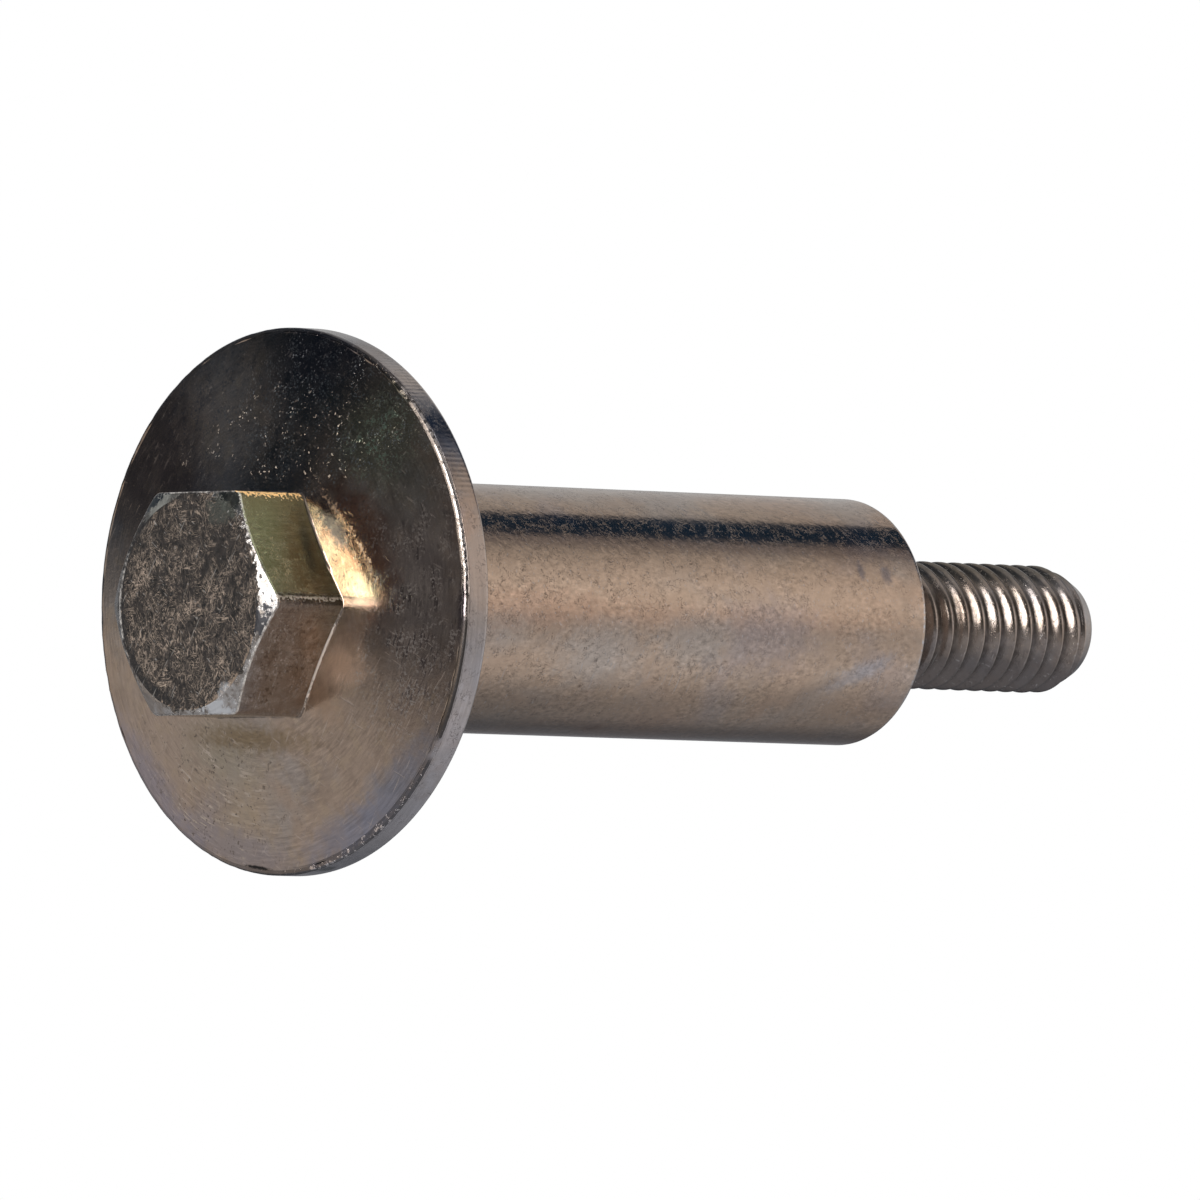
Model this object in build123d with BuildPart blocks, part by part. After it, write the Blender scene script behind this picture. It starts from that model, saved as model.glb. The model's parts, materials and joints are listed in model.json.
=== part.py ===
"""A flanged hexagon shoulder bolt, cold headed and turned from one blank.

The origin is on the bolt's axis, in the plane of the flange's bearing face.
+Z runs along the shank to the threaded point, and the head lies below zero.
Two flats of the hexagon face +X and -X.
"""

from build123d import *
import os
from math import cos, radians, tan

# Hexagon, in millimetres.
hex_across_flats = 10.0
hex_height = 4.35
hex_edge_radius = 0.15
hex_root_radius = 0.2
end_face_diameter = 9.6
end_chamfer_angle = 23.0

# Flange: a plain rim under a shallow cone that rises to the hexagon.
flange_diameter = 24.6
flange_rim_height = 1.4
flange_cone_angle = 12.0
rim_edge_radius = 0.2

# Ground shoulder.
shoulder_diameter = 11.3
shoulder_length = 33.3
under_head_radius = 0.4
shoulder_edge_chamfer = 0.25

# Stud, drawn at the major diameter of its thread (M6, coarse pitch).
thread_diameter = 5.9
thread_length = 13.9
stud_root_radius = 0.3
point_diameter = 4.2
point_angle = 28.0
point_edge_radius = 0.5

# Places that follow from the sizes.
flange_radius = flange_diameter / 2
shoulder_radius = shoulder_diameter / 2
thread_radius = thread_diameter / 2
point_radius = point_diameter / 2
end_face_radius = end_face_diameter / 2
hex_corner_radius = hex_across_flats / 2 / cos(radians(30))
chamfer_rise = hex_corner_radius * tan(radians(end_chamfer_angle))
cone_slope = tan(radians(flange_cone_angle))
rim_z = -flange_rim_height
cone_apex_z = rim_z - flange_radius * cone_slope
hex_corner_z = rim_z - (flange_radius - hex_corner_radius) * cone_slope
head_z = hex_corner_z - hex_height
point_z = shoulder_length + thread_length
point_length = (thread_radius - point_radius) / tan(radians(point_angle))


def rings(edges, radius, height):
    """The circular edges of one radius that lie at one height."""
    circles = edges.filter_by(GeomType.CIRCLE)
    sized = circles.filter_by(lambda edge: abs(edge.radius - radius) < 0.01)
    return sized.filter_by(lambda edge: abs(edge.center().Z - height) < 0.01)


os.makedirs("parts", exist_ok=True)

# The hexagon is a prism from the end face up into the flange. A turned
# chamfer takes its outer corners off at the end face.
with BuildPart() as hexagon:
    with BuildSketch(Plane.XY.offset(head_z)):
        RegularPolygon(hex_across_flats / 2, 6, major_radius=False, rotation=30)
    extrude(amount=rim_z - head_z)
    fillet(hexagon.edges().filter_by(Axis.Z), hex_edge_radius)
    with BuildSketch(Plane.XZ):
        with BuildLine():
            Polyline(
                (0, head_z),
                (end_face_radius, head_z),
                (end_face_radius + hex_corner_radius, head_z + chamfer_rise),
                (end_face_radius + hex_corner_radius, rim_z),
                (0, rim_z),
                close=True,
            )
        make_face()
    revolve(axis=Axis.Z, mode=Mode.INTERSECT)

# Flange, shoulder and stud are turned: half of their section, revolved.
with BuildPart() as bolt:
    with BuildSketch(Plane.XZ):
        with BuildLine():
            Polyline(
                (0, cone_apex_z),
                (flange_radius, rim_z),
                (flange_radius, 0),
                (shoulder_radius, 0),
                (shoulder_radius, shoulder_length),
                (thread_radius, shoulder_length),
                (thread_radius, point_z - point_length),
                (point_radius, point_z),
                (0, point_z),
                close=True,
            )
        make_face()
    revolve(axis=Axis.Z)
    add(hexagon.part)

    # The root where the hexagon grows out of the cone: the crossings dip
    # below the corners' height by less than the cone falls across the hexagon.
    root_low_z = hex_corner_z - hex_corner_radius * cone_slope
    seams = bolt.edges(Select.LAST).filter_by_position(Axis.Z, root_low_z, rim_z)
    fillet(seams, hex_root_radius)

    # Rounded and broken edges and root radii, from the rim to the point.
    fillet(rings(bolt.edges(), flange_radius, rim_z), rim_edge_radius)
    fillet(rings(bolt.edges(), flange_radius, 0), rim_edge_radius)
    fillet(rings(bolt.edges(), shoulder_radius, 0), under_head_radius)
    chamfer(rings(bolt.edges(), shoulder_radius, shoulder_length), shoulder_edge_chamfer)
    fillet(rings(bolt.edges(), thread_radius, shoulder_length), stud_root_radius)
    fillet(rings(bolt.edges(), point_radius, point_z), point_edge_radius)

bolt.part.label = "bolt"
export_step(bolt.part, "parts/bolt.step")
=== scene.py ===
"""A flanged hexagon shoulder bolt of dull plated steel, handled and stained.

The bolt stands on the end face of its head, as it is modelled, and is made
as one closed mesh. Its body is a grid of rings round the axis: each corner of
the section is a ring, softened by a small curve, and the surfaces run between
the corners. Its thread is a helix made by Geometry Nodes, sewn on to the body
at the root of the stud.
"""

import json
import logging
import math
from dataclasses import dataclass, field
from enum import Enum
from typing import ClassVar

import bmesh
import bpy
import numpy as np
from mathutils import Matrix, Vector, noise


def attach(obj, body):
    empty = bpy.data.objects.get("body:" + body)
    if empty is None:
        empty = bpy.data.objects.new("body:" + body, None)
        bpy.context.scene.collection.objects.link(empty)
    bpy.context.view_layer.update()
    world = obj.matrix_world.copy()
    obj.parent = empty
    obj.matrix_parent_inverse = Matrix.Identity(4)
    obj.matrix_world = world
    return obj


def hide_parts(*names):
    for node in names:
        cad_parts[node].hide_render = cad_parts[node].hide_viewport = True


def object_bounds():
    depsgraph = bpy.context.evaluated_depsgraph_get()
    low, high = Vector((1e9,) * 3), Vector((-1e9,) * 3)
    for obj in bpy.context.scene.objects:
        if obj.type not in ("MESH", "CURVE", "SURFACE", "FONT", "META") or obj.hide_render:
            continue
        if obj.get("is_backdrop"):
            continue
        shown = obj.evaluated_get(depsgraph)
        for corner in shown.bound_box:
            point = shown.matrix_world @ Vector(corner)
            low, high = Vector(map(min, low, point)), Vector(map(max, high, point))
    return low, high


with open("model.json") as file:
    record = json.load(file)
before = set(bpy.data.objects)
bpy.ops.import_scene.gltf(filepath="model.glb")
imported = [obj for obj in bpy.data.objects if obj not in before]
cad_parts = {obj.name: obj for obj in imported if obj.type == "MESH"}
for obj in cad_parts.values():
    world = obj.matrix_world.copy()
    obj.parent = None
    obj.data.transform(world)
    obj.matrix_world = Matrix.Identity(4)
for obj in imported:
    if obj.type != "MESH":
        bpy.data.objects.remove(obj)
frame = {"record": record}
cad_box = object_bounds()

MM = 0.001
WELD = 0.002 * MM  # Points closer together than this are one.
STUD_LEAD = 0.3 * MM  # Plain length between the step and the thread's first ring.
MOST_REACH = 0.6  # Share of a surface's length that the rounding of a corner may take.
log = logging.getLogger("bolt")

Colour = tuple[float, float, float]
Socket = bpy.types.NodeSocket
Ring = float | np.ndarray  # One number, or one a column.


# ---------------------------------------------------------------------------
# Node trees written as Python expressions
# ---------------------------------------------------------------------------


class Value:
    """A number socket that takes part in Python arithmetic."""

    def __init__(self, web: "Web", socket: Socket) -> None:
        """Wraps a socket.

        Args:
            web: The node tree that the socket belongs to.
            socket: An output that carries a number.
        """
        self.web = web
        self.socket = socket

    def __add__(self, other: "Number") -> "Value":
        """Sum."""
        return self.web.math("ADD", self, other)

    __radd__ = __add__

    def __mul__(self, other: "Number") -> "Value":
        """Product."""
        return self.web.math("MULTIPLY", self, other)

    __rmul__ = __mul__

    def __sub__(self, other: "Number") -> "Value":
        """Difference."""
        return self.web.math("SUBTRACT", self, other)

    def __rsub__(self, other: float) -> "Value":
        """Difference, with this value taken away."""
        return self.web.math("SUBTRACT", other, self)

    def __truediv__(self, other: "Number") -> "Value":
        """Quotient."""
        return self.web.math("DIVIDE", self, other)

    def __pow__(self, other: "Number") -> "Value":
        """Power."""
        return self.web.math("POWER", self, other)

    def __abs__(self) -> "Value":
        """Size without its sign."""
        return self.web.math("ABSOLUTE", self)

    def rise(self, low: float, high: float) -> "Value":
        """A smooth step.

        Args:
            low: Where the step starts, at 0.
            high: Where it ends, at 1. Below low, the step falls instead.

        Returns:
            A value from 0 to 1.
        """
        ends = {"From Min": min(low, high), "From Max": max(low, high)}
        made = self.web.node(
            "ShaderNodeMapRange", {"interpolation_type": "SMOOTHSTEP"}, {"Value": self, **ends}
        )
        step = Value(self.web, made.outputs["Result"])
        return step if high > low else 1 - step


Number = Value | float


class Web:
    """A node tree, with one way to add each kind of node."""

    def __init__(self, tree: bpy.types.NodeTree) -> None:
        """Wraps an empty node tree."""
        self.tree = tree

    @classmethod
    def of(cls, owner: bpy.types.Material | bpy.types.World) -> "Web":
        """Empties the node tree of a material or a world.

        Args:
            owner: The material or world.

        Returns:
            Its node tree, wrapped.
        """
        owner.use_nodes = True
        owner.node_tree.nodes.clear()
        return cls(owner.node_tree)

    def node(
        self, kind: str, settings: dict[str, object] | None = None, inputs: dict | None = None
    ) -> bpy.types.Node:
        """Adds a node, sets it up and connects it.

        Args:
            kind: The node's type.
            settings: The node's own properties, set first.
            inputs: Values, sockets or Values, by the socket's name or place.

        Returns:
            The node.
        """
        made = self.tree.nodes.new(kind)
        for name, value in (settings or {}).items():
            setattr(made, name, value)
        for key, value in (inputs or {}).items():
            source = value.socket if isinstance(value, Value) else value
            if isinstance(source, Socket):
                self.tree.links.new(source, made.inputs[key])
            else:
                made.inputs[key].default_value = source
        return made

    def math(self, operation: str, *terms: Number) -> Value:
        """Adds a Math node and returns its result."""
        made = self.node("ShaderNodeMath", {"operation": operation}, dict(enumerate(terms)))
        return Value(self, made.outputs[0])

    def vector(self, operation: str, *terms: object) -> Socket:
        """Adds a Vector Math node and returns its vector."""
        made = self.node("ShaderNodeVectorMath", {"operation": operation}, dict(enumerate(terms)))
        return made.outputs["Vector"]

    def dot(self, a: object, b: object) -> Value:
        """The dot product of two vectors."""
        made = self.node("ShaderNodeVectorMath", {"operation": "DOT_PRODUCT"}, {0: a, 1: b})
        return Value(self, made.outputs["Value"])

    def parts(self, vector: Socket) -> tuple[Value, Value, Value]:
        """Takes a vector apart.

        Args:
            vector: Its socket.

        Returns:
            Its three components.
        """
        made = self.node("ShaderNodeSeparateXYZ", None, {0: vector})
        x, y, z = (Value(self, socket) for socket in made.outputs)
        return x, y, z

    def join(self, x: Number, y: Number, z: Number) -> Socket:
        """A vector from three components."""
        return self.node("ShaderNodeCombineXYZ", None, {0: x, 1: y, 2: z}).outputs[0]

    def blend(self, factor: Number, a: object, b: object, mode: str = "MIX") -> Socket:
        """Mixes two colours.

        Args:
            factor: The share of b.
            a: The first colour, as a socket or three numbers.
            b: The second colour.
            mode: How they are mixed.

        Returns:
            The mixed colour's socket.
        """
        a, b = ((*c, 1.0) if isinstance(c, tuple) else c for c in (a, b))
        settings = {"data_type": "RGBA", "blend_type": mode}
        return self.node("ShaderNodeMix", settings, {0: factor, 6: a, 7: b}).outputs[2]

    def noise(
        self,
        place: object,
        scale: float,
        detail: float = 3.0,
        rough: float = 0.55,
        bend: float = 0.0,
    ) -> Value:
        """Fractal noise from 0 to 1.

        Args:
            place: The coordinates, in millimetres.
            scale: Features for each millimetre.
            detail: Octaves.
            rough: How strong the fine octaves are.
            bend: Distortion.

        Returns:
            The noise, centred on 0.5.
        """
        inputs = {"Vector": place, "Scale": scale, "Detail": detail, "Roughness": rough}
        made = self.node("ShaderNodeTexNoise", None, {**inputs, "Distortion": bend})
        return Value(self, made.outputs["Fac"])


def put(name: str, data: bpy.types.ID) -> bpy.types.Object:
    """Adds an object to the scene.

    Args:
        name: The object's name.
        data: Its mesh, camera or lamp.

    Returns:
        The object, at the origin.
    """
    made = bpy.data.objects.new(name, data)
    bpy.context.scene.collection.objects.link(made)
    return made


# ---------------------------------------------------------------------------
# The section: corners, and the surfaces between them
# ---------------------------------------------------------------------------


class Zone(Enum):
    """The surfaces of the bolt that each have a finish of their own."""

    END_FACE = 0
    CHAMFER = 1
    FLATS = 2
    CONE = 3
    RIM = 4
    SEAT = 5
    SHOULDER = 6
    STEP = 7
    THREAD = 8


@dataclass(frozen=True)
class Corner:
    """A ring of points where the section turns.

    Attributes:
        points: One point for each column, in metres.
        reach: How far from the corner its rounding starts, in metres.
        wear: How bare the metal is rubbed there, from 0 to 1, or how thickly
            dirt is caked there, from 0 to -1.
        steps: Rings that the rounding has.
    """

    points: np.ndarray
    reach: float = 0.0
    wear: Ring = 0.0
    steps: int = 3


@dataclass(frozen=True)
class Strip:
    """The surface from one corner to the next.

    Attributes:
        zone: Which finish it has.
        rows: Rings between its two ends, closer together near the ends.
        wear: Wear of those rings, as a corner has it.
    """

    zone: Zone
    rows: int
    wear: Ring = 0.0


@dataclass
class Section:
    """Corners and strips in order, from the pole of the head to the stud's root."""

    corners: list[Corner] = field(default_factory=list)
    strips: list[Strip] = field(default_factory=list)

    def start(self, corner: Corner) -> None:
        """Puts down the first corner."""
        self.corners.append(corner)

    def run(self, zone: Zone, rows: int, corner: Corner, wear: Ring = 0.0) -> None:
        """Adds a surface and the corner that it ends at."""
        self.strips.append(Strip(zone, rows, wear))
        self.corners.append(corner)

    def rings(self) -> tuple[np.ndarray, np.ndarray, list[Zone]]:
        """Works the corners and strips out into rings.

        Returns:
            The rings' points, the wear of each point, and the zone of each
            band between a ring and the next.
        """
        points: list[np.ndarray] = []
        wear: list[Ring] = []
        zones: list[Zone] = []
        for place, corner in enumerate(self.corners):
            before = self.strips[place - 1].zone if place else None
            after = self.strips[place].zone if place < len(self.strips) else None
            for share, ring in self._rounded(place):
                if points:
                    zones.append(after if share > 0.5 and after else before)
                points.append(ring)
                wear.append(corner.wear)
            if after is None:
                continue
            start, end = points[-1], self._rounded(place + 1)[0][1]
            for row in range(1, self.strips[place].rows + 1):
                share = 0.5 - 0.5 * math.cos(math.pi * row / (self.strips[place].rows + 1))
                points.append(start + (end - start) * share)
                wear.append(self.strips[place].wear)
                zones.append(after)
        columns = len(points[0])
        return np.array(points), np.array([np.broadcast_to(w, columns) for w in wear]), zones

    def _rounded(self, place: int) -> list[tuple[float, np.ndarray]]:
        """Rounds one corner.

        Args:
            place: The corner's place in the section.

        Returns:
            The rings of its rounding, each with its share of the turn.
        """
        corner = self.corners[place]
        if not corner.reach or place in (0, len(self.corners) - 1):
            return [(0.0, corner.points)]
        ends = []
        for neighbour in (self.corners[place - 1], self.corners[place + 1]):
            away = neighbour.points - corner.points
            length = np.linalg.norm(away, axis=1, keepdims=True)
            reach = np.minimum(corner.reach, MOST_REACH * length)
            ends.append(corner.points + away * reach / length)
        shares = [step / corner.steps for step in range(corner.steps + 1)]
        return [
            (t, (1 - t) ** 2 * ends[0] + 2 * t * (1 - t) * corner.points + t**2 * ends[1])
            for t in shares
        ]


def circle(angles: np.ndarray, radius: Ring, height: Ring) -> np.ndarray:
    """A ring of points round the axis, of one radius and height or one a column."""
    height = np.broadcast_to(height, angles.shape)
    return np.column_stack((radius * np.cos(angles), radius * np.sin(angles), height))


@dataclass(frozen=True)
class Side:
    """One side of the bolt, and how strongly something shows there.

    Attributes:
        middle: The angle at which it shows most, in degrees.
        reach: How far to each side it is felt, in degrees.
        share: Its strength at the middle.
    """

    middle: float
    reach: float
    share: float = 1.0

    def at(self, angles: np.ndarray) -> np.ndarray:
        """Its strength at each of the columns' angles, in radians."""
        off = (np.degrees(angles) - self.middle + 180.0) % 360.0 - 180.0
        return np.exp(-((off / self.reach) ** 2)) * self.share


@dataclass(frozen=True)
class HexHead:
    """The forged hexagon, its turned chamfer and the end face.

    Attributes:
        end_z: Height of the end face.
        across_flats: Width over two flats.
        corner_radius: Rounding of the upright corners.
        face_radius: Radius of the end face, where the chamfer starts.
        chamfer_slope: Rise of the chamfer for each unit outwards.
        off_centre: How far the forging sits off the axis, towards +X.
        twist: How far the forging is turned about the axis, in radians.
        face_lean: Rise of the end face for each unit towards +Y.
        pole_radius: Radius of the smallest ring of the end face.
        face_rounding: How far the rounding of the end face's edge reaches.
        rounding: The same at the chamfer's outer edge and at the foot.
        handled: How bare the chamfer's outer edge is rubbed.
        corners: How bare the upright corners are rubbed.
        near_corner_shade: Painted shade beside the near upright corner, laid on with the
            caked-dirt tint.
        rubbed_root: Where the foot of the flats is rubbed bare.
        caked_root: Where dirt fills it.
        rubbed_face: Where the edge of the end face is rubbed.
        cut_wide: Where the chamfer was cut wider.
        sound_edge: Where the chamfer's outer edge kept its plating.
    """

    end_z: float
    across_flats: float = 10.0 * MM
    corner_radius: float = 0.5 * MM
    face_radius: float = 4.8 * MM
    chamfer_slope: float = math.tan(math.radians(26.0))
    off_centre: float = 0.23 * MM
    twist: float = math.radians(-2.5)
    face_lean: float = 0.03
    pole_radius: float = 0.05 * MM
    face_rounding: float = 0.1 * MM
    rounding: float = 0.07 * MM
    handled: float = 0.75
    corners: tuple[Side, ...] = (
        Side(-90.0, 1.6, 0.3),
        Side(-30.0, 1.6, 0.55),
        Side(30.0, 1.6, 0.8),
        Side(90.0, 1.6, 0.8),
        Side(150.0, 1.6, 0.8),
    )
    # Painted shade beside the near upright corner, drawn with the caked-dirt tint.
    near_corner_shade: Side = Side(-93.5, 1.3, -0.6)
    rubbed_root: Side = Side(-60.0, 34.0, 1.2)
    caked_root: Side = Side(-128.0, 27.0, -1.1)
    rubbed_face: Side = Side(90.0, 75.0, 0.78)
    cut_wide: Side = Side(-106.0, 22.0, 0.16 * MM)
    sound_edge: Side = Side(-107.0, 10.0, -1.3)

    def outline(self, angles: np.ndarray) -> np.ndarray:
        """The hexagon with its rounded corners, two of its flats nearly square to X.

        Args:
            angles: The columns' angles, in radians.

        Returns:
            Its radius at each of them.
        """
        angles = angles - self.twist
        flat = self.across_flats / 2
        sector = math.pi / 3
        from_flat = np.abs((angles + sector / 2) % sector - sector / 2)
        from_corner = sector / 2 - from_flat
        centre = (flat - self.corner_radius) / math.cos(sector / 2)
        arc = centre * np.cos(from_corner) + np.sqrt(
            np.maximum(self.corner_radius**2 - (centre * np.sin(from_corner)) ** 2, 0.0)
        )
        in_corner = from_flat > math.atan(centre * math.sin(sector / 2) / flat)
        return np.where(in_corner, arc, flat / np.cos(from_flat))

    def place(self, ring: np.ndarray, lean: float = 0.0) -> np.ndarray:
        """Moves a ring to where the forging sits, and leans it with the end face."""
        rise = lean * (ring[:, 1] + self.face_radius)
        return ring + np.column_stack((np.full(len(ring), self.off_centre), 0 * rise, rise))

    def draw(self, section: Section, angles: np.ndarray, cone: "Flange") -> None:
        """Adds the end face, the chamfer and the flats.

        Args:
            section: What they are added to.
            angles: The columns' angles, in radians.
            cone: The flange that the flats stand on.
        """
        turned = angles - self.twist
        outline = self.outline(angles)
        lean = self.face_lean
        upright_wear = sum(corner.at(turned) for corner in self.corners)
        # Painted shade beside the near upright corner, laid on as negative wear.
        upright_wear = upright_wear + self.near_corner_shade.at(turned)
        root_wear = self.rubbed_root.at(turned) + self.caked_root.at(turned)
        edge_wear = self.handled + self.sound_edge.at(turned)
        face = self.face_radius - self.cut_wide.at(turned)
        hex_z = self.end_z + (outline - face) * self.chamfer_slope
        root = self.place(circle(angles, outline, 0.0))
        root[:, 2] = cone.height_at(np.linalg.norm(root[:, :2], axis=1))
        pole = self.place(circle(angles, self.pole_radius, self.end_z), lean)
        face_edge = self.place(circle(angles, face, self.end_z), lean)
        hex_edge = self.place(circle(angles, outline, hex_z), lean)
        section.start(Corner(pole))
        face_wear = self.rubbed_face.at(turned)
        section.run(Zone.END_FACE, 26, Corner(face_edge, self.face_rounding, face_wear))
        section.run(Zone.CHAMFER, 4, Corner(hex_edge, self.rounding, edge_wear))
        section.run(Zone.FLATS, 16, Corner(root, self.rounding, root_wear), upright_wear)


@dataclass(frozen=True)
class Flange:
    """The coned flange, its rim and its bearing face.

    Attributes:
        radius: Outer radius of the rim.
        rim_height: Height of the plain rim, down from the bearing face at zero.
        cone_slope: Rise of the cone for each unit inwards.
        edge_radius: Rounding of the rim's edges.
        handled: How far the whole lower edge is rubbed.
        rubbed: Where it is rubbed brightest.
        caked: Where dirt fills it. Above 1, it is full.
        caked_least: What is taken from that, so that the dirt ends sooner.
        caked_wear: Wear where it is full.
        crushed: Where the edge is crushed to a rough band.
        crushed_width: Width of that band on the cone.
        crushed_wear: How bare the band's inner border, its middle and its edge are.
        crease_height: Height of the dirty crease above the lower edge.
        crease_wear: Wear in the crease.
        lip_wear: Wear between the edge and the crease.
        root_rounding: How far the rounding under the flange reaches.
    """

    radius: float
    rim_height: float = 1.4 * MM
    cone_slope: float = math.tan(math.radians(12.0))
    edge_radius: float = 0.21 * MM
    handled: float = 0.46
    rubbed: Side = Side(-118.0, 28.0, 0.54)
    caked: Side = Side(-75.0, 15.0, 3.0)
    caked_least: float = 0.6
    caked_wear: float = -0.75
    crushed: Side = Side(-30.0, 32.0)
    crushed_width: float = 0.34 * MM
    crushed_wear: tuple[float, float, float] = (0.15, 0.68, 0.25)
    crease_height: float = 0.2 * MM
    crease_wear: float = -0.55
    lip_wear: float = 0.3
    root_rounding: float = 0.4 * MM

    def height_at(self, radius: np.ndarray) -> np.ndarray:
        """Height of the cone's surface at a distance from the axis."""
        return -self.rim_height - (self.radius - radius) * self.cone_slope

    def draw(self, section: Section, angles: np.ndarray, shank_radius: float) -> None:
        """Adds the cone, the rim and the bearing face.

        Args:
            section: What they are added to.
            angles: The columns' angles, in radians.
            shank_radius: Radius at which the bearing face ends.
        """
        lower = circle(angles, self.radius, -self.rim_height)
        upper = circle(angles, self.radius, 0.0)
        crease = circle(angles, self.radius, -self.rim_height + self.crease_height)
        inner = self.radius - self.crushed_width
        band = circle(angles, inner, self.height_at(np.full(len(angles), inner)))
        root = circle(angles, shank_radius, 0.0)
        border_wear, band_wear, edge_wear = (
            share * self.crushed.at(angles) for share in self.crushed_wear
        )
        wear = self.handled + self.rubbed.at(angles) + edge_wear
        filled = np.clip(self.caked.at(angles) - self.caked_least, 0.0, 1.0)
        wear = wear * (1.0 - filled) + self.caked_wear * filled
        section.run(Zone.CONE, 30, Corner(band, 0.0, border_wear))
        section.run(Zone.CONE, 2, Corner(lower, self.edge_radius, wear, 5), band_wear)
        section.run(Zone.RIM, 1, Corner(crease, 0.0, self.crease_wear), self.lip_wear)
        section.run(Zone.RIM, 7, Corner(upper, self.edge_radius, 0.0, 4))
        section.run(Zone.SEAT, 8, Corner(root, self.root_rounding, 0.0, 5))


@dataclass(frozen=True)
class Shoulder:
    """The ground shoulder and the step down to the stud.

    Attributes:
        radius: The shoulder's radius.
        length: From the bearing face to the step.
        edge: Size of the broken edge at the step.
        roundings: How far the roundings of its two sides and of the step's root reach.
        wears: How bare its first side, the edge itself and its second side are.
    """

    radius: float
    length: float
    edge: float = 0.25 * MM
    roundings: tuple[float, float, float] = (0.12 * MM, 0.08 * MM, 0.15 * MM)
    wears: tuple[float, float, float] = (0.72, 0.8, 0.85)

    def draw(self, section: Section, angles: np.ndarray, stud: "Stud") -> None:
        """Adds the shoulder and the step.

        Args:
            section: What they are added to.
            angles: The columns' angles, in radians.
            stud: The stud that the step leads to.
        """
        body_end = circle(angles, self.radius, self.length - self.edge)
        step_edge = circle(angles, self.radius - self.edge, self.length)
        step_root = circle(angles, stud.radius, self.length)
        stud_start = circle(angles, stud.radius, stud.start)
        first, second, inner = self.roundings
        first_wear, edge_wear, second_wear = self.wears
        section.run(Zone.SHOULDER, 39, Corner(body_end, first, first_wear))
        section.run(Zone.SHOULDER, 1, Corner(step_edge, second, second_wear, 2), edge_wear)
        section.run(Zone.STEP, 6, Corner(step_root, inner))
        section.run(Zone.THREAD, 1, Corner(stud_start))


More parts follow.
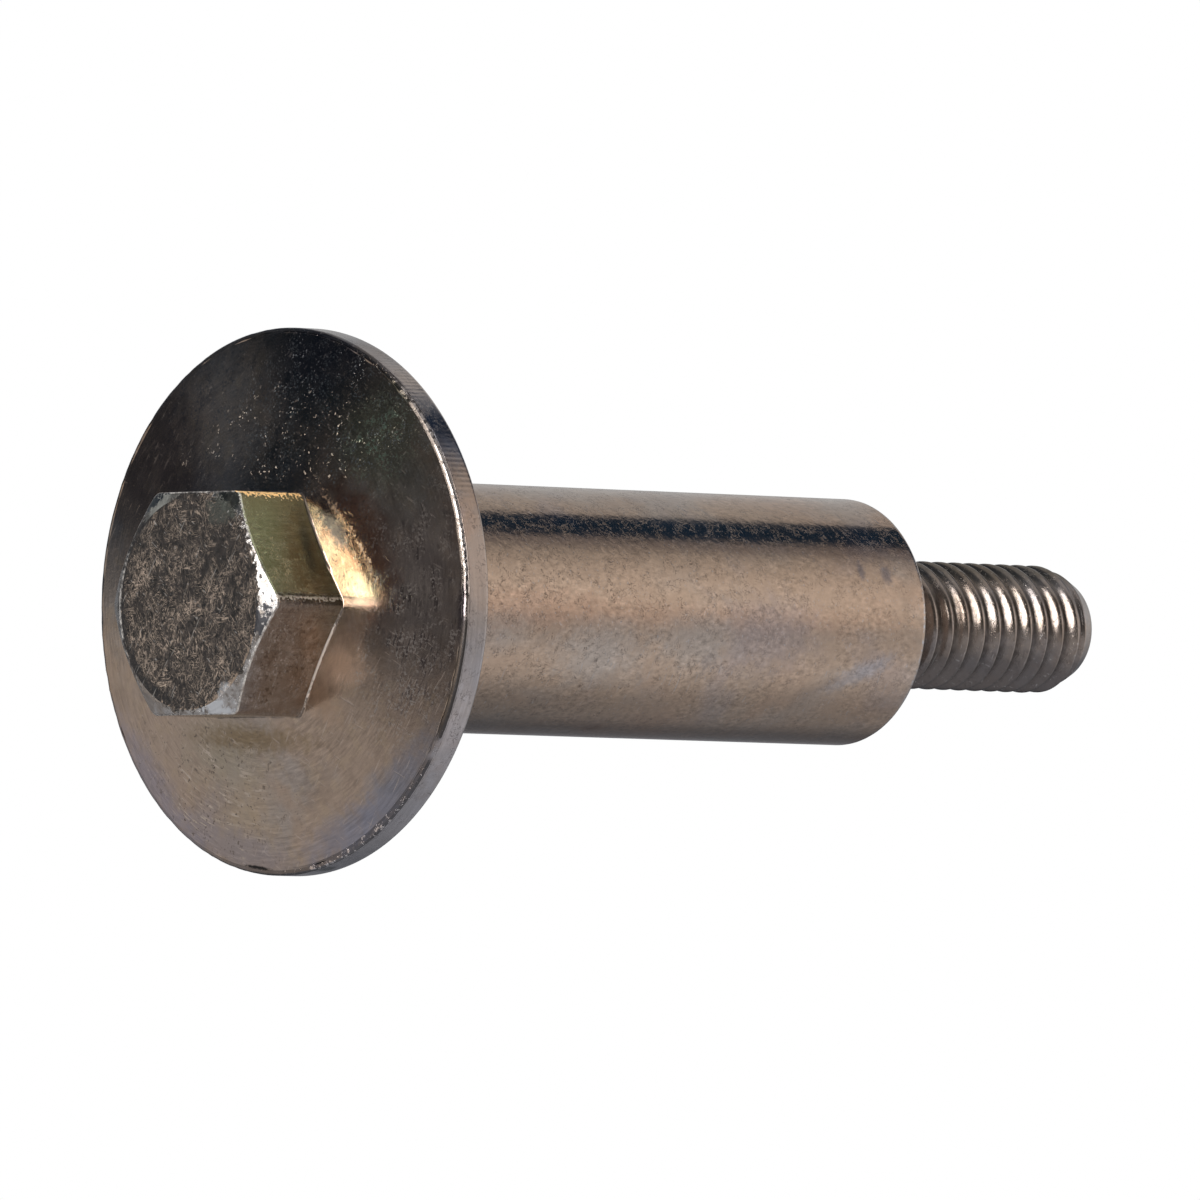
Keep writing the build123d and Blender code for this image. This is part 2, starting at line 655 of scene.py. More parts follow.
@dataclass(frozen=True)
class Stud:
    """The threaded stud: a right-hand helix with a run-out and a cut point.

    Attributes:
        radius: Radius over the crests.
        start: Height where the helix begins, just past the step.
        end: Height of the point's end face.
        pitch: From crest to crest.
        depth: From crest to root.
        run_out: Length over which the groove grows to its full depth.
        point_length: Length of the taper at the point.
        point_radius: Radius that the taper would end at.
        point_rounding: How far from the end the taper curves in.
        blend: Softness of the border between the thread and the point.
        groove_dirt: How thickly dirt is caked at the root of the groove.
        rows_per_turn: Rings for each pitch.
    """

    INPUTS: ClassVar[dict[str, tuple[str, ...]]] = {
        "NodeSocketFloat": (
            "Radius", "Start", "Length", "Pitch", "Depth", "Run Out",
            "Point Length", "Point Radius", "Point Rounding",
        ),
        "NodeSocketInt": ("Columns", "Rows"),
        "NodeSocketMaterial": ("Finish",),
    }

    radius: float
    start: float
    end: float
    pitch: float = 1.0 * MM
    depth: float = 0.46 * MM
    run_out: float = 2.2 * MM
    point_length: float = 1.7 * MM
    point_radius: float = 2.1 * MM
    point_rounding: float = 0.5 * MM
    blend: float = 0.12 * MM
    groove_dirt: float = 0.5
    rows_per_turn: int = 17

    def tree(self) -> bpy.types.GeometryNodeTree:
        """Builds the Geometry Nodes tree that makes the stud.

        Returns:
            The tree, which takes the stud's sizes as its inputs.
        """
        tree = bpy.data.node_groups.new("helical_thread", "GeometryNodeTree")
        for kind, names in self.INPUTS.items():
            for name in names:
                tree.interface.new_socket(name=name, in_out="INPUT", socket_type=kind)
        tree.interface.new_socket(
            name="Geometry", in_out="OUTPUT", socket_type="NodeSocketGeometry"
        )
        web = Web(tree)
        given = web.node("NodeGroupInput").outputs
        size = {name: Value(web, given[name]) for name in given.keys() if name}
        blank = web.node(
            "GeometryNodeMeshCylinder",
            {"fill_type": "TRIANGLE_FAN"},
            {
                "Vertices": given["Columns"],
                "Side Segments": given["Rows"],
                "Radius": given["Radius"],
                "Depth": given["Length"],
            },
        )
        opened = web.node(
            "GeometryNodeDeleteGeometry",
            {"domain": "FACE"},
            {"Geometry": blank.outputs["Mesh"], "Selection": blank.outputs["Bottom"]},
        )
        x, y, z = web.parts(web.node("GeometryNodeInputPosition").outputs[0])
        along = z + size["Length"] / 2
        radius = self._cut(web, size, web.math("ARCTAN2", y, x), along)
        grow = radius / size["Radius"]
        place = web.join(x * grow, y * grow, along + size["Start"])
        moved = web.node(
            "GeometryNodeSetPosition", None, {"Geometry": opened.outputs[0], "Position": place}
        )
        whole = web.node("GeometryNodeRealizeInstances", None, {0: moved.outputs[0]})
        dressed = web.node(
            "GeometryNodeSetMaterial",
            None,
            {"Geometry": whole.outputs[0], "Material": given["Finish"]},
        )
        web.node("NodeGroupOutput", None, {0: dressed.outputs[0]})
        return tree

    def grime(self, point: Vector) -> float:
        """Wear of a point: below zero down in the groove, where dirt stays."""
        sunk = (self.radius - point.xy.length) / self.depth
        return -self.groove_dirt * sunk if point.z < self.end - self.point_length else 0.0

    def _cut(self, web: Web, size: dict[str, Value], angle: Value, along: Value) -> Value:
        """The helix, cut by the point.

        Args:
            web: The node tree.
            size: Its inputs, by name.
            angle: Angle round the axis, in radians.
            along: Height above the stud's start.

        Returns:
            The stud's radius there.
        """
        turn = along / size["Pitch"] - angle / (2 * math.pi)
        groove = 0.5 - web.math("COSINE", turn * (2 * math.pi)) * 0.5
        grown = web.node(
            "ShaderNodeMapRange",
            {"interpolation_type": "SMOOTHSTEP"},
            {"Value": along, "From Min": 0.0, "From Max": size["Run Out"]},
        )
        helix = size["Radius"] - size["Depth"] * groove * Value(web, grown.outputs["Result"])
        to_end = size["Length"] - along
        taper = size["Point Radius"] + (size["Radius"] - size["Point Radius"]) * (
            to_end / size["Point Length"]
        )
        bite = web.math("MAXIMUM", 1 - to_end / size["Point Rounding"], 0.0)
        left = web.math("MAXIMUM", 1 - bite * bite, 0.0) ** 0.5
        curved = taper - size["Point Rounding"] * (1 - left)
        return web.math("SMOOTH_MIN", helix, curved, self.blend)

    def make(self, columns: int, finish: bpy.types.Material) -> bpy.types.Mesh:
        """Makes the stud's mesh, open at its root.

        Args:
            columns: Faces round the axis, the same as the body has.
            finish: The thread's material.

        Returns:
            A plain mesh in its place on the bolt.
        """
        tree = self.tree()
        length = self.end - self.start
        sizes = {
            "Radius": self.radius,
            "Start": self.start,
            "Length": length,
            "Pitch": self.pitch,
            "Depth": self.depth,
            "Run Out": self.run_out,
            "Point Length": self.point_length,
            "Point Radius": self.point_radius,
            "Point Rounding": self.point_rounding,
            "Columns": columns,
            "Rows": round(length / self.pitch * self.rows_per_turn),
            "Finish": finish,
        }
        seed = put("stud_blank", bpy.data.meshes.new("stud_blank"))
        modifier = seed.modifiers.new("helical_thread", "NODES")
        modifier.node_group = tree
        for item in tree.interface.items_tree:
            if item.in_out == "INPUT":
                modifier[item.identifier] = sizes[item.name]
        graph = bpy.context.evaluated_depsgraph_get()
        made = bpy.data.meshes.new_from_object(seed.evaluated_get(graph))
        seed.modifiers.remove(modifier)
        bpy.data.objects.remove(seed)
        return made


@dataclass(frozen=True)
class Weathering:
    """Dents, burr and rubbing that the mesh carries.

    Attributes:
        face_depth: Deepest hollows of the rough end face.
        face_scale: Hollows for each millimetre.
        nick: Deepest nicks along the rim's lower edge.
        burr: Height of the burr rolled up along that edge.
        burr_scale: Nicks and burrs for each millimetre.
        burr_wear: An edge that is rubbed more than this somewhere has a burr.
    """

    face_depth: float = 0.06 * MM
    face_scale: float = 0.9
    nick: float = 0.04 * MM
    burr: float = 0.06 * MM
    burr_scale: float = 2.6
    burr_wear: float = 0.9

    def press(self, rings: np.ndarray, zones: list[Zone], wear: np.ndarray) -> None:
        """Presses the dents into the body's rings and raises the burr.

        Args:
            rings: The rings' points, changed in place.
            zones: The zone of each band.
            wear: The wear of each point.
        """
        for place, ring in enumerate(rings):
            zone = zones[min(place, len(zones) - 1)]
            if zone is Zone.END_FACE:
                for point in ring:
                    spot = Vector(point) / MM * self.face_scale
                    point[2] += self.face_depth * max(noise.fractal(spot, 1.0, 2.0, 2), 0.0)
            if zone in (Zone.CONE, Zone.RIM) and wear[place].max() > self.burr_wear:
                for point in ring:
                    spot = Vector(point) / MM * self.burr_scale
                    rough = noise.fractal(spot, 0.8, 2.0, 3)
                    point[:2] *= 1 - self.nick * max(rough, 0.0) / math.hypot(point[0], point[1])
                    if zone is Zone.CONE:
                        point[2] -= self.burr * max(-rough, 0.0)


@dataclass(frozen=True)
class Bolt:
    """The whole bolt, one closed mesh.

    Attributes:
        head: Hexagon and end face.
        flange: Cone, rim and bearing face.
        shoulder: Ground cylinder and step.
        stud: Thread.
        weathering: Dents in the mesh.
        columns: Faces round the axis, a multiple of twelve.
    """

    head: HexHead
    flange: Flange
    shoulder: Shoulder
    stud: Stud
    weathering: Weathering = Weathering()
    columns: int = 240

    def body(self) -> tuple[np.ndarray, np.ndarray, list[Zone]]:
        """Works out the body, from the end face to the root of the stud.

        Returns:
            Its rings, the wear of each point, and the zone of each band.
        """
        angles = np.arange(self.columns) * 2 * math.pi / self.columns
        section = Section()
        self.head.draw(section, angles, self.flange)
        self.flange.draw(section, angles, self.shoulder.radius)
        self.shoulder.draw(section, angles, self.stud)
        rings, wear, zones = section.rings()
        self.weathering.press(rings, zones, wear)
        return rings, wear, zones

    def build(self, finishes: dict[Zone, bpy.types.Material]) -> bpy.types.Object:
        """Makes the bolt's mesh and dresses it.

        Args:
            finishes: The material of each zone.

        Returns:
            The bolt's object, at the origin.
        """
        rings, worn, zones = self.body()
        count = self.columns
        corners = [tuple(rings[0].mean(axis=0)), *map(tuple, rings.reshape(-1, 3))]
        wear = [0.0, *worn.ravel()]
        faces = [(0, 1 + (j + 1) % count, 1 + j) for j in range(count)]
        slots = [Zone.END_FACE.value] * count
        for i, zone in enumerate(zones):
            low, high = 1 + i * count, 1 + (i + 1) * count
            for j in range(count):
                k = (j + 1) % count
                faces.append((low + j, low + k, high + k, high + j))
            slots += [zone.value] * count
        stud = self.stud.make(count, finishes[Zone.THREAD])
        first = len(corners)
        corners += [tuple(v.co) for v in stud.vertices]
        wear += [self.stud.grime(vertex.co) for vertex in stud.vertices]
        faces += [tuple(first + v for v in polygon.vertices) for polygon in stud.polygons]
        slots += [Zone.THREAD.value] * len(stud.polygons)
        bpy.data.meshes.remove(stud)
        mesh = bpy.data.meshes.new("bolt_skin")
        mesh.from_pydata(corners, [], faces)
        for zone in Zone:
            mesh.materials.append(finishes[zone])
        mesh.polygons.foreach_set("material_index", slots)
        mesh.attributes.new("wear", "FLOAT", "POINT").data.foreach_set("value", wear)
        self._sew(mesh)
        return put("bolt_skin", mesh)

    @staticmethod
    def _sew(mesh: bpy.types.Mesh) -> None:
        """Joins the body and the stud at their shared ring, and smooths the mesh.

        Args:
            mesh: The bolt's mesh, changed in place.
        """
        work = bmesh.new()
        work.from_mesh(mesh)
        bmesh.ops.remove_doubles(work, verts=work.verts, dist=WELD)
        bmesh.ops.recalc_face_normals(work, faces=work.faces)
        open_edges = sum(1 for edge in work.edges if not edge.is_manifold)
        work.to_mesh(mesh)
        work.free()
        mesh.shade_smooth()
        triangles = sum(len(polygon.vertices) - 2 for polygon in mesh.polygons)
        log.info("bolt_skin: %d triangles, %d open edges", triangles, open_edges)


# ---------------------------------------------------------------------------
# Finishes
# ---------------------------------------------------------------------------


class Lie(Enum):
    """How the finest lines of a surface run."""

    LOOSE = "loose"
    AXIAL = "axial"
    ROUND = "round"
    RINGS = "rings"


class Chart(Enum):
    """The pair of coordinates that marks are placed in, in millimetres."""

    SHOULDER = 5.65
    HEXAGON = 5.4
    RIM = 12.3
    FACE = 0.0


@dataclass(frozen=True)
class Patch:
    """A cloudy change of colour that comes and goes over a surface.

    Attributes:
        colour: The colour that it turns to.
        scale: Clouds for each millimetre.
        low: Noise at which it starts.
        high: Noise at which it is full.
        share: Its strength, from 0 to 1.
        stretch: How much longer it is along the axis.
    """

    colour: Colour
    scale: float
    low: float = 0.45
    high: float = 0.62
    share: float = 0.7
    stretch: float = 1.0


@dataclass(frozen=True)
class Mark:
    """One stain, scuff or worn place; some marks are painted highlights, reflections or shade.

    Attributes:
        at: Its middle on the chart, in millimetres.
        size: Half its width and half its length, in millimetres.
        colour: Its colour.
        share: Its strength, from 0 to 1.
        lean: Turn on the chart, in degrees.
        soft: Width of its edge, as a share of its size.
        ragged: How uneven its outline is.
        dull: How matt it is, from 0 to 1.
    """

    at: tuple[float, float]
    size: tuple[float, float]
    colour: Colour
    share: float = 0.8
    lean: float = 0.0
    soft: float = 0.4
    ragged: float = 0.8
    dull: float = 0.0


@dataclass(frozen=True)
class Peel:
    """The dimples that tumbling leaves, and short curved cuts with dirt in them.

    Attributes:
        scale: Dimples for each millimetre.
        depth: Height between a high and a low, in micrometres.
        cuts: Depth of the cuts, in micrometres.
        cut_scale: Cuts for each millimetre.
        dirt: How dark the cuts are, from 0 to 1.
        fade: Share of all this that is lost for each millimetre along the shank.
    """

    scale: float = 5.0
    depth: float = 12.0
    cuts: float = 6.0
    cut_scale: float = 3.5
    dirt: float = 0.3
    fade: float = 0.0


@dataclass(frozen=True)
class Lines:
    """Fine tool lines.

    Attributes:
        lie: The way that they run.
        scale: Lines for each millimetre.
        depth: Height between a high and a low, in micrometres.
        shade: How much the lines change the colour.
        length: How many times longer than wide they are.
    """

    lie: Lie
    scale: float = 8.0
    depth: float = 4.0
    shade: float = 0.15
    length: float = 14.0


@dataclass(frozen=True)
class Specks:
    """Small bare or dusty spots, in clusters.

    Attributes:
        colour: Their colour.
        at: Where on the chart most of them are, in millimetres.
        size: Half the width and half the length of that place.
        scale: Spots for each millimetre.
        limit: Noise above which there is a spot.
        cluster: Clusters for each millimetre.
        metal: How metallic they are.
        elsewhere: Their share outside that place.
        drawn: The lines that they are drawn out along, if any.
    """

    colour: Colour
    at: tuple[float, float]
    size: tuple[float, float]
    scale: float = 5.5
    limit: float = 0.655
    cluster: float = 0.5
    metal: float = 0.3
    elsewhere: float = 0.1
    drawn: Lines | None = None


@dataclass(frozen=True)
class Finish:
    """Plated steel as one zone of the bolt wears it.

    Attributes:
        name: The material's name.
        colour: What the clean plating mirrors of white light.
        rough: Roughness.
        spread: How much the roughness varies.
        metal: How metallic it is.
        chart: Where its marks are placed.
        patches: Cloudy colours, the later ones on top.
        peel: Dimples and pits.
        lines: Tool lines.
        specks: Bare or dusty spots.
        edge: Colour of the rubbed edges.
        edge_metal: How metallic they are.
        gaps: How much of them is left dark, in beads, from 0 to 1.
        blotchy: How uneven the dirt in the corners is, from 0 to 1.
        marks: Single marks.
        scratches: Depth of the handling scratches, in micrometres.
        dusty: How much dust the scratches hold, from 0 to 1.
        chatter: Teeth rolled round the rim, 0 for none.
        fibres: How strongly the scale of a forged face shows, from 0 to 1.
    """

    name: str
    colour: Colour = (0.40, 0.30, 0.225)
    rough: float = 0.2
    spread: float = 0.1
    metal: float = 1.0
    chart: Chart = Chart.FACE
    patches: tuple[Patch, ...] = ()
    peel: Peel = Peel()
    lines: Lines = Lines(Lie.LOOSE)
    specks: tuple[Specks, ...] = ()
    edge: Colour = (0.52, 0.50, 0.49)
    edge_metal: float = 1.0
    gaps: float = 0.25
    blotchy: float = 1.0
    marks: tuple[Mark, ...] = ()
    scratches: float = 3.0
    dusty: float = 0.0
    chatter: int = 0
    fibres: float = 0.0

    def make(self) -> bpy.types.Material:
        """Builds the material.

        Returns:
            The material, under the finish's name.
        """
        material = bpy.data.materials.new(self.name)
        web = Web.of(material)
        skin = Skin(web, self.chart)
        shader = FinishNodes(web, skin, self).shader()
        web.node("ShaderNodeOutputMaterial", None, {"Surface": shader})
        return material


class Skin:
    """The coordinates that a finish is drawn in, in millimetres."""

    def __init__(self, web: Web, chart: Chart) -> None:
        """Adds the coordinates to a node tree.

        Args:
            web: The material's node tree.
            chart: The coordinates of its marks.
        """
        self.web = web
        given = web.node("ShaderNodeTexCoord").outputs["Object"]
        self.place = web.vector("MULTIPLY", given, (1 / MM,) * 3)
        self.x, self.y, self.z = web.parts(self.place)
        self.radius = (self.x * self.x + self.y * self.y) ** 0.5
        self.turn = web.math("ARCTAN2", self.x, self.y * -1)
        if chart is Chart.FACE:
            self.across, self.along = self.x, self.y
        else:
            self.across, self.along = self.turn * chart.value, self.z

    def lined(self, lines: Lines) -> Socket:
        """Scales the coordinates so that noise in them makes lines.

        Args:
            lines: Which way the lines run, and how fine they are.

        Returns:
            The scaled coordinates.
        """
        lie, scale = lines.lie, lines.scale
        slow = scale / lines.length
        if lie is Lie.AXIAL:
            return self.web.join(self.x * scale, self.y * scale, self.z * slow)
        if lie is Lie.ROUND:
            return self.web.join(self.x * slow, self.y * slow, self.z * scale)
        if lie is Lie.RINGS:
            turn = scale * 4 / lines.length
            return self.web.join(
                self.radius * scale, self.x / self.radius * turn, self.y / self.radius * turn
            )
        return self.web.vector("MULTIPLY", self.place, (scale, scale, scale * 0.6))

    def mask(self, mark: Mark) -> Value:
        """Outlines a mark.

        Args:
            mark: Its place, size and edge.

        Returns:
            How strongly it shows, from 0 to 1.
        """
        lean = math.radians(mark.lean)
        du, dv = self.across - mark.at[0], self.along - mark.at[1]
        a = du * math.cos(lean) + dv * math.sin(lean)
        b = dv * math.cos(lean) - du * math.sin(lean)
        wide, long = a / mark.size[0], b / mark.size[1]
        far = (wide * wide + long * long) ** 0.5
        fine = 1.6 / min(1.0, max(min(mark.size), 0.25))
        uneven = self.web.noise(self.place, fine, 3.0, 0.6) - 0.5
        return (far + uneven * (2 * mark.ragged)).rise(1 + mark.soft, 1 - mark.soft) * mark.share


CHATTER_SIDE = 42.0  # Where the rim's teeth show most, above the side that faces -Y.
SCALE_REACH = 4.85  # How far out the head's scale reaches on the -Y side, in millimetres.
SCALE_REACH_FAR = 0.15  # How much further it reaches on the +Y side.
SCALE_CUT = 0.11  # How much less it reaches where the chamfer was cut wider.
SCALE_LOW = 0.16  # How much further it reaches on the +X side.
STRANDS = ((25, 4.9), (80, 4.0), (130, 5.3), (165, 4.4))  # Their turn and number a millimetre.
STRAND_STRETCH = 0.22  # How much slower a strand changes along itself than across.
STRAND_BEND = 1.35  # How strongly the strands curl.
STRAND_REACH = 0.032  # Half a strand's width, on the scale of the noise.
STRAND_HEIGHT = 22  # In micrometres.
GROUND_HEIGHT = 26  # Height of the ground between them, in micrometres.
HOLE_DEPTH = 25  # Depth of the places that the rubbing missed, in micrometres.
SPECK_HEIGHT = 7  # Height of a speck that isn't metal, in micrometres.
TOOTH_HEIGHT = 2.2  # Height of the rim's teeth, in micrometres.
TOOTH_SHADE = 0.14  # How much they change the colour.
STRAND: Colour = (0.40, 0.31, 0.24)
DIRT_AND_SHADE: Colour = (0.03, 0.025, 0.022)
GAP: Colour = (0.02, 0.02, 0.022)


class FinishNodes:
    """Works a finish out into nodes."""

    def __init__(self, web: Web, skin: Skin, finish: Finish) -> None:
        """Starts from the clean plating.

        Args:
            web: The material's node tree.
            skin: Its coordinates.
            finish: What to build.
        """
        self.web, self.skin, self.finish = web, skin, finish
        self.colour: object = finish.colour
        self.rough: Number = finish.rough
        self.metal: Number = finish.metal
        self.height: Number = 0.0

    def shader(self) -> Socket:
        """Adds every layer, one over the other.

        Returns:
            The shader's socket.
        """
        for patch in self.finish.patches:
            self._patch(patch)
        if self.finish.fibres:
            self._fibres()
        for mark in self.finish.marks:
            self._mark(mark)
        self._peel()
        self._lines()
        self._scratches()
        if self.finish.chatter:
            self._chatter()
        for specks in self.finish.specks:
            self._specks(specks)
        self._edges()
        bump = self.web.node(
            "ShaderNodeBump", None, {"Strength": 1.0, "Distance": MM * MM, "Height": self.height}
        )
        steel = self.web.node(
            "ShaderNodeBsdfPrincipled",
            None,
            {
                "Base Color": self.colour,
                "Roughness": self.rough,
                "Metallic": self.metal,
                "Normal": bump.outputs[0],
            },
        )
        return steel.outputs["BSDF"]

    def _tint(self, mask: Number, colour: object) -> None:
        """Turns the surface to another colour where a mask says so."""
        self.colour = self.web.blend(mask, self.colour, colour)

    def _shade(self, grey: Value) -> None:
        """Darkens or lightens the colour by a factor."""
        even = self.web.join(grey, grey, grey)
        self.colour = self.web.blend(1.0, self.colour, even, "MULTIPLY")

    def _patch(self, patch: Patch) -> None:
        """Adds clouds of another colour.

        Args:
            patch: Their colour, size and strength.
        """
        place = self.web.vector("MULTIPLY", self.skin.place, (1.0, 1.0, 1 / patch.stretch))
        cloud = self.web.noise(place, patch.scale, 4.0, 0.6, 0.3)
        mask = cloud.rise(patch.low, patch.high) * patch.share
        self._tint(mask, patch.colour)

    def _peel(self) -> None:
        """Adds dimples, and short cuts with dirt in them."""
        peel, web, place = self.finish.peel, self.web, self.skin.place
        strong = 1.3 - self.skin.z * peel.fade if peel.fade else 1.0
        dimple = web.noise(place, peel.scale, 2.0, 0.5, 0.5)
        line = web.noise(place, peel.cut_scale, 2.0, 0.6, 1.0)
        few = web.noise(place, 1.5, 2.0, 0.6).rise(0.44, 0.60)
        cut = abs(line - 0.5).rise(0.022, 0.004) * few * strong
        self.height = self.height + dimple * strong * peel.depth - cut * peel.cuts
        dark = web.blend(1.0, self.colour, (0.30, 0.27, 0.27), "MULTIPLY")
        self._tint(cut * peel.dirt, dark)
        wide = web.noise(place, 0.7, 3.0, 0.6)
        self.rough = self.rough + (wide - 0.5) * (2 * self.finish.spread)

    def _lines(self) -> None:
        """Adds tool lines."""
        lines, web = self.finish.lines, self.web
        line = web.noise(self.skin.lined(lines), 1.0, 3.0, 0.6) - 0.5
        line = line * (0.35 + web.noise(self.skin.place, 0.6, 2.0).rise(0.35, 0.62))
        self.height = self.height + line * lines.depth
        self._shade(1 + line * (4 * lines.shade))

    def _scratches(self) -> None:
        """Adds short scratches in two directions."""
        web, place = self.web, self.skin.place
        for turn in ((0.9, 0.5, -0.3), (-0.2, 0.7, 0.9)):
            spun = web.node("ShaderNodeMapping", None, {"Vector": place, "Rotation": turn})
            drawn = web.vector("MULTIPLY", spun.outputs[0], (0.7, 9.0, 9.0))
            cut = web.noise(drawn, 1.0, 1.0, 0.5).rise(0.69, 0.76)
            self.height = self.height - cut * self.finish.scratches
            self._tint(cut * 0.35, self.finish.edge)
            if self.finish.dusty:
                self.metal = self.metal - cut * self.finish.dusty

    def _chatter(self) -> None:
        """Adds even teeth round the rim, along the axis, strongest on one side."""
        web = self.web
        wave = web.math("SINE", self.skin.turn * self.finish.chatter)
        side = abs(self.skin.turn + math.radians(CHATTER_SIDE)).rise(0.75, 0.2)
        strong = web.noise(self.skin.place, 0.5, 3.0).rise(0.40, 0.62) * side
        self.height = self.height + wave * strong * TOOTH_HEIGHT
        self._shade(1 + wave * strong * TOOTH_SHADE)

    def _fibres(self) -> None:
        """Adds the matted scale of a face that no tool has touched.

        Curled strands lie over one another in several directions, over a
        darker ground. On the chamfer they end at a ragged border, further out
        on the side where the tool took less off.
        """
        web, skin = self.web, self.skin
        strand: Number = 0.0
        for turn, width in STRANDS:
            angle = math.radians(turn)
            along = skin.x * math.cos(angle) + skin.y * math.sin(angle)
            side = skin.y * math.cos(angle) - skin.x * math.sin(angle)
            place = web.join(along * (STRAND_STRETCH * width), side * width, turn / 10)
            line = web.noise(place, 1.0, 2.0, 0.5, STRAND_BEND)
            here = web.noise(web.join(skin.x, skin.y, turn), 1.1, 2.0, 0.6).rise(0.44, 0.60)
            one = abs(line - 0.5).rise(STRAND_REACH, 0.0) * here
            strand = web.math("MAXIMUM", strand, one)
        floor = web.noise(skin.place, 3.2, 4.0, 0.7, 0.6).rise(0.36, 0.64)
        wide = web.noise(skin.place, 0.45, 3.0, 0.6).rise(0.35, 0.65)
        ground = web.blend(floor, (0.005, 0.0045, 0.004), (0.041, 0.032, 0.027))
        ground = web.blend(wide * 0.5, ground, (0.015, 0.0115, 0.0095))
        matted = web.blend(strand * (0.92 - wide * 0.35), ground, STRAND)
        ragged = web.noise(skin.place, 2.0, 3.0, 0.6) - 0.5
        fine = web.noise(skin.place, 6.0, 2.0, 0.6) - 0.5
        far_side = skin.y.rise(-1.5, 2.5)
        # Painted shade: a dark ragged ring just inside the end face's edge on the +Y side, the
        # shadow of a groove that the mesh does not have.
        groove = (skin.radius + ragged * 0.5).rise(4.46, 4.58) * far_side
        matted = web.blend(groove * 0.8, matted, (0.012, 0.011, 0.011))
        cut_side = abs(skin.x + 1.4).rise(2.4, 1.0) * skin.y.rise(-3.2, -3.9)
        low_side = skin.x.rise(2.0, 4.2) * skin.y.rise(-2.6, -1.0)
        border = SCALE_REACH + far_side * SCALE_REACH_FAR - cut_side * SCALE_CUT
        border = border + low_side * SCALE_LOW
        border = border + ragged * (0.9 - cut_side * 0.5) + fine * 0.9
        cover = (border - skin.radius).rise(-0.07, 0.07) * self.finish.fibres
        self._tint(cover, matted)
        self.metal = self.metal * (1 - cover * 0.55)
        self.rough = self.rough + cover * 0.25
        self.height = self.height + (strand * STRAND_HEIGHT + floor * GROUND_HEIGHT) * cover

    def _mark(self, mark: Mark) -> None:
        """Adds one mark.

        Args:
            mark: Its place and its look.
        """
        mask = self.skin.mask(mark)
        self._tint(mask, mark.colour)
        if mark.dull:
            self.rough = self.rough + mask * (0.4 * mark.dull)
            self.metal = self.metal * (1 - mask * mark.dull)

    def _specks(self, specks: Specks) -> None:
        """Adds bare or dusty spots.

        Args:
            specks: Their place and their look.
        """
        web, place = self.web, self.skin.place
        zone = Mark(specks.at, specks.size, specks.colour, 1.0, soft=0.6)
        share = self.skin.mask(zone) * (1 - specks.elsewhere) + specks.elsewhere
        where = web.noise(place, specks.cluster, 2.0, 0.5).rise(0.40, 0.60) * share
        fine = self.skin.lined(specks.drawn) if specks.drawn else place
        spot = web.noise(fine, 1.0 if specks.drawn else specks.scale, 2.0, 0.6, 0.4)
        mask = spot.rise(specks.limit, specks.limit + 0.03) * where
        self._tint(mask, specks.colour)
        matt = self.finish.metal - specks.metal
        self.metal = self.metal - mask * matt
        self.height = self.height + mask * (SPECK_HEIGHT * matt)

    def _edges(self) -> None:
        """Adds rubbed edges, broken up by what the handling missed, and caked dirt, which beside
        the hexagon's near upright corner is painted shade.
        """
        web = self.web
        made = web.node("ShaderNodeAttribute", {"attribute_name": "wear"})
        wear = Value(web, made.outputs["Fac"])
        missed = web.noise(self.skin.place, 4.5, 3.0, 0.6)
        bare = (wear * 1.1 - missed * 0.6).rise(0.42, 0.65)
        hole = (missed - wear * 0.6).rise(-0.03, 0.05) * wear.rise(0.3, 0.6) * self.finish.gaps
        blotch = (missed - 0.5) * self.finish.blotchy + 0.5
        # Below zero, wear is caked dirt; beside the hexagon's near upright corner it is painted
        # shade.
        caked = (wear * -1.1 - blotch).rise(-0.25, 0.2)
        self._tint(bare * 0.9, self.finish.edge)
        self._tint(hole * 0.85, GAP)
        self._tint(caked * 0.85, DIRT_AND_SHADE)
        self.rough = self.rough + caked * 0.25
        if self.finish.edge_metal < 1:
            self.metal = self.metal - bare * (1 - self.finish.edge_metal)
        self.height = self.height - hole * HOLE_DEPTH


TAN: Colour = (0.42, 0.312, 0.235)
PINK: Colour = (0.42, 0.27, 0.195)
GREY: Colour = (0.37, 0.33, 0.30)
LILAC: Colour = (0.32, 0.27, 0.265)
BROWN: Colour = (0.26, 0.19, 0.145)
OLIVE: Colour = (0.36, 0.36, 0.22)
STEEL: Colour = (0.28, 0.30, 0.35)
INK: Colour = (0.09, 0.10, 0.14)
RUST: Colour = (0.25, 0.13, 0.07)
CHALK: Colour = (0.52, 0.53, 0.55)
DUST: Colour = (0.46, 0.385, 0.31)
SOOT: Colour = (0.05, 0.055, 0.045)

STREAKS = Lines(Lie.RINGS, 6.5, length=3.0)

